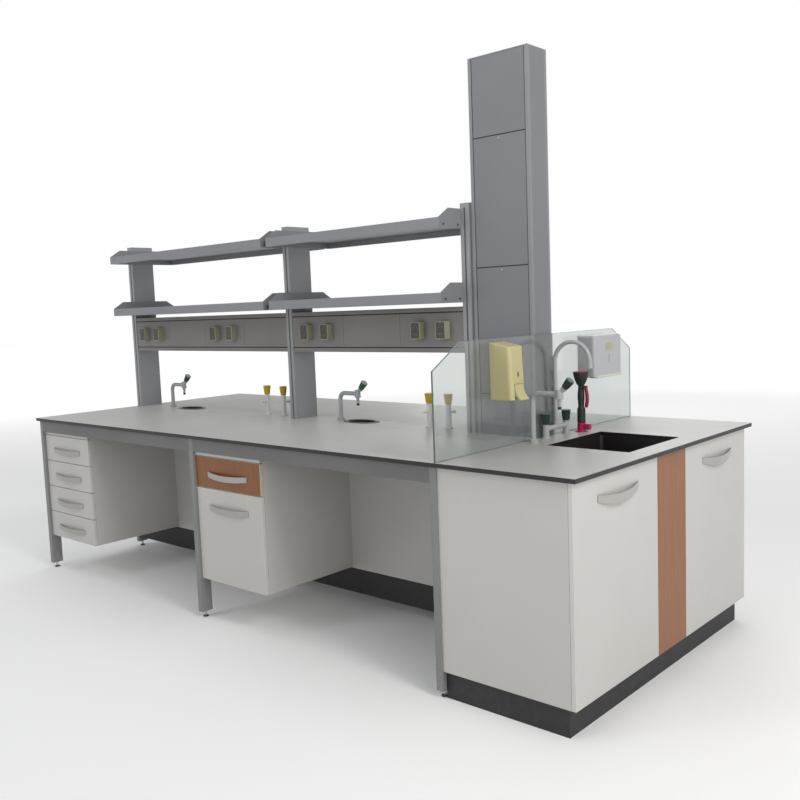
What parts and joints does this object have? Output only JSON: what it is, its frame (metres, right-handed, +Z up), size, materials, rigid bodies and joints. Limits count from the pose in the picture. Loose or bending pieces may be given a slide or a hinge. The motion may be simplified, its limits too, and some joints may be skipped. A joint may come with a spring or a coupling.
{
  "type": "laboratory workbench",
  "caption": "Double-sided laboratory island bench with hung pedestals, end sink cabinet, two-tier reagent rack, service column, glass screen, taps and dispensers.",
  "frame": {"origin": "on the floor under the middle of the bench's bounding box", "axes": "+X along the bench towards the sink end, +Y towards the far side, +Z up"},
  "size_m": [3.624, 1.5, 2.5],
  "materials": {
    "laminate_top": "matt laminate with a dark core",
    "frame_grey": "powder coat",
    "white_board": "satin melamine",
    "cherry_board": "wood-effect melamine",
    "plinth_board": "dark melamine",
    "rack_grey": "powder coat",
    "panel_grey": "powder coat",
    "socket_beige": "moulded",
    "basin_black": "moulded polypropylene",
    "drain_grey": "moulded",
    "runner_steel": "zinc plated",
    "tap_grey": "epoxy coated brass",
    "knob_green": "moulded",
    "knob_dark": "moulded",
    "knob_yellow": "moulded",
    "gas_white": "epoxy coated brass",
    "safety_red": "moulded",
    "handset_black": "soft grip",
    "clear_glass": "clear tempered",
    "soap_yellow": "moulded",
    "dispenser_white": "moulded"
  },
  "bodies": {
    "bench": {"bench_worktops": "laminate_top", "spine_top": "laminate_top", "sink_worktop": "laminate_top", "leg_frames": "frame_grey", "aprons": "frame_grey", "levelling_feet": "basin_black", "spine_panels": "white_board", "plinths": "plinth_board", "drawer_pedestals": "white_board", "cupboard_pedestals": "white_board", "drawer_runners": "runner_steel", "sink_cabinet": "white_board", "service_panel": "cherry_board", "door_hinges": "runner_steel", "sink_basin": "basin_black", "cup_sinks": "basin_black", "waste_pipes": "drain_grey", "uprights": "rack_grey", "shelves": "rack_grey", "shelf_end_plates": "rack_grey", "raceways": "rack_grey", "socket_outlets": "socket_beige", "column_frame": "rack_grey", "column_panels": "panel_grey", "glass_screen": "clear_glass", "tap_bodies": "tap_grey", "gas_tap_bodies": "gas_white", "mixer_body": "tap_grey", "eyewash_base": "safety_red", "soap_backplate": "soap_yellow", "towel_base": "dispenser_white"},
    "near_left_drawer_1": {"near_left_drawer_1": "white_board"},
    "far_left_drawer_1": {"far_left_drawer_1": "white_board"},
    "near_left_drawer_2": {"near_left_drawer_2": "white_board"},
    "far_left_drawer_2": {"far_left_drawer_2": "white_board"},
    "near_left_drawer_3": {"near_left_drawer_3": "white_board"},
    "far_left_drawer_3": {"far_left_drawer_3": "white_board"},
    "near_left_drawer_4": {"near_left_drawer_4": "white_board"},
    "far_left_drawer_4": {"far_left_drawer_4": "white_board"},
    "near_right_drawer": {"near_right_drawer": "cherry_board"},
    "far_right_drawer": {"far_right_drawer": "cherry_board"},
    "near_cupboard_door": {"near_cupboard_door": "white_board"},
    "far_cupboard_door": {"far_cupboard_door": "white_board"},
    "near_sink_door": {"near_sink_door": "white_board"},
    "far_sink_door": {"far_sink_door": "white_board"},
    "left_cup_tap_knob": {"left_cup_tap_knob": "knob_green"},
    "right_cup_tap_knob": {"right_cup_tap_knob": "knob_green"},
    "sink_tap_knob": {"sink_tap_knob": "knob_dark"},
    "gas_tap_1_knob": {"gas_tap_1_knob": "knob_yellow"},
    "gas_tap_2_knob": {"gas_tap_2_knob": "knob_yellow"},
    "gas_tap_3_knob": {"gas_tap_3_knob": "knob_yellow"},
    "gas_tap_4_knob": {"gas_tap_4_knob": "knob_yellow"},
    "near_mixer_knob": {"near_mixer_knob": "knob_dark"},
    "far_mixer_knob": {"far_mixer_knob": "knob_dark"},
    "mixer_spout": {"mixer_spout": "tap_grey"},
    "eyewash_handset": {"eyewash_handset": "handset_black"},
    "eyewash_lever": {"eyewash_lever": "safety_red"},
    "soap_cover": {"soap_cover": "soap_yellow"},
    "soap_lever": {"soap_lever": "soap_yellow"},
    "towel_cover": {"towel_cover": "dispenser_white"}
  },
  "joints": [
    {"name": "near_left_drawer_1_slide", "type": "slide", "parent": "bench", "child": "near_left_drawer_1", "axis": [0, -1, 0], "range_m": [0, 0.4]},
    {"name": "near_left_drawer_2_slide", "type": "slide", "parent": "bench", "child": "near_left_drawer_2", "axis": [0, -1, 0], "range_m": [0, 0.4]},
    {"name": "near_left_drawer_3_slide", "type": "slide", "parent": "bench", "child": "near_left_drawer_3", "axis": [0, -1, 0], "range_m": [0, 0.4]},
    {"name": "near_left_drawer_4_slide", "type": "slide", "parent": "bench", "child": "near_left_drawer_4", "axis": [0, -1, 0], "range_m": [0, 0.4]},
    {"name": "near_right_drawer_slide", "type": "slide", "parent": "bench", "child": "near_right_drawer", "axis": [0, -1, 0], "range_m": [0, 0.4]},
    {"name": "near_cupboard_door_hinge", "type": "hinge", "parent": "bench", "child": "near_cupboard_door", "pos_m": [0.19639, -0.704, 0], "axis": [0, 0, 1], "range_deg": [0, 110]},
    {"name": "near_sink_door_hinge", "type": "hinge", "parent": "bench", "child": "near_sink_door", "pos_m": [1.77, -0.728, 0], "axis": [0, 0, -1], "range_deg": [0, 110]},
    {"name": "far_left_drawer_1_slide", "type": "slide", "parent": "bench", "child": "far_left_drawer_1", "axis": [0, 1, 0], "range_m": [0, 0.4]},
    {"name": "far_left_drawer_2_slide", "type": "slide", "parent": "bench", "child": "far_left_drawer_2", "axis": [0, 1, 0], "range_m": [0, 0.4]},
    {"name": "far_left_drawer_3_slide", "type": "slide", "parent": "bench", "child": "far_left_drawer_3", "axis": [0, 1, 0], "range_m": [0, 0.4]},
    {"name": "far_left_drawer_4_slide", "type": "slide", "parent": "bench", "child": "far_left_drawer_4", "axis": [0, 1, 0], "range_m": [0, 0.4]},
    {"name": "far_right_drawer_slide", "type": "slide", "parent": "bench", "child": "far_right_drawer", "axis": [0, 1, 0], "range_m": [0, 0.4]},
    {"name": "far_cupboard_door_hinge", "type": "hinge", "parent": "bench", "child": "far_cupboard_door", "pos_m": [0.19639, 0.704, 0], "axis": [0, 0, -1], "range_deg": [0, 110]},
    {"name": "far_sink_door_hinge", "type": "hinge", "parent": "bench", "child": "far_sink_door", "pos_m": [1.77, 0.728, 0], "axis": [0, 0, 1], "range_deg": [0, 110]},
    {"name": "left_cup_tap_turn", "type": "hinge", "parent": "bench", "child": "left_cup_tap_knob", "pos_m": [-1.39096, 0, 1.041], "axis": [0.6691, 0, 0.7431], "range_deg": [0, 180]},
    {"name": "right_cup_tap_turn", "type": "hinge", "parent": "bench", "child": "right_cup_tap_knob", "pos_m": [0.11199, 0, 1.041], "axis": [0.6691, 0, 0.7431], "range_deg": [0, 180]},
    {"name": "sink_tap_turn", "type": "hinge", "parent": "bench", "child": "sink_tap_knob", "pos_m": [1.405, -0.179, 1.102], "axis": [0.6691, 0, 0.7431], "range_deg": [0, 180]},
    {"name": "gas_tap_1_turn", "type": "hinge", "parent": "bench", "child": "gas_tap_1_knob", "pos_m": [-0.59696, 0, 1.012], "axis": [0, 0, 1], "range_deg": [0, 90]},
    {"name": "gas_tap_2_turn", "type": "hinge", "parent": "bench", "child": "gas_tap_2_knob", "pos_m": [-0.45997, 0, 1.012], "axis": [0, 0, 1], "range_deg": [0, 90]},
    {"name": "gas_tap_3_turn", "type": "hinge", "parent": "bench", "child": "gas_tap_3_knob", "pos_m": [0.58197, 0, 1.012], "axis": [0, 0, 1], "range_deg": [0, 90]},
    {"name": "gas_tap_4_turn", "type": "hinge", "parent": "bench", "child": "gas_tap_4_knob", "pos_m": [0.69497, 0, 1.012], "axis": [0, 0, 1], "range_deg": [0, 90]},
    {"name": "near_mixer_turn", "type": "hinge", "parent": "bench", "child": "near_mixer_knob", "pos_m": [1.253, -0.044, 0.956], "axis": [0, 0, 1], "range_deg": [0, 180]},
    {"name": "far_mixer_turn", "type": "hinge", "parent": "bench", "child": "far_mixer_knob", "pos_m": [1.253, 0.116, 0.956], "axis": [0, 0, 1], "range_deg": [0, 180]},
    {"name": "spout_swivel", "type": "hinge", "parent": "bench", "child": "mixer_spout", "pos_m": [1.253, 0.036, 0.96], "axis": [0, 0, 1], "range_deg": [-45, 45]},
    {"name": "handset_lift", "type": "slide", "parent": "bench", "child": "eyewash_handset", "axis": [0, 0, 1], "range_m": [0, 0.06]},
    {"name": "eyewash_squeeze", "type": "hinge", "parent": "eyewash_handset", "child": "eyewash_lever", "pos_m": [1.3095, 0.188, 1.0935], "axis": [0, 1, 0], "range_deg": [0, 5], "stiffness_Nm_per_rad": 0.02},
    {"name": "soap_cover_hinge", "type": "hinge", "parent": "bench", "child": "soap_cover", "pos_m": [1.2344, -0.3485, 1.096], "axis": [0, 1, 0], "range_deg": [0, 60]},
    {"name": "soap_push_hinge", "type": "hinge", "parent": "soap_cover", "child": "soap_lever", "pos_m": [1.32163, -0.3485, 1.153], "axis": [0, 1, 0], "range_deg": [0, 8], "stiffness_Nm_per_rad": 0.5, "springref_deg": -5.73},
    {"name": "towel_cover_hinge", "type": "hinge", "parent": "bench", "child": "towel_cover", "pos_m": [1.2344, 0.381, 1.128], "axis": [0, 1, 0], "range_deg": [0, 75]}
  ]
}
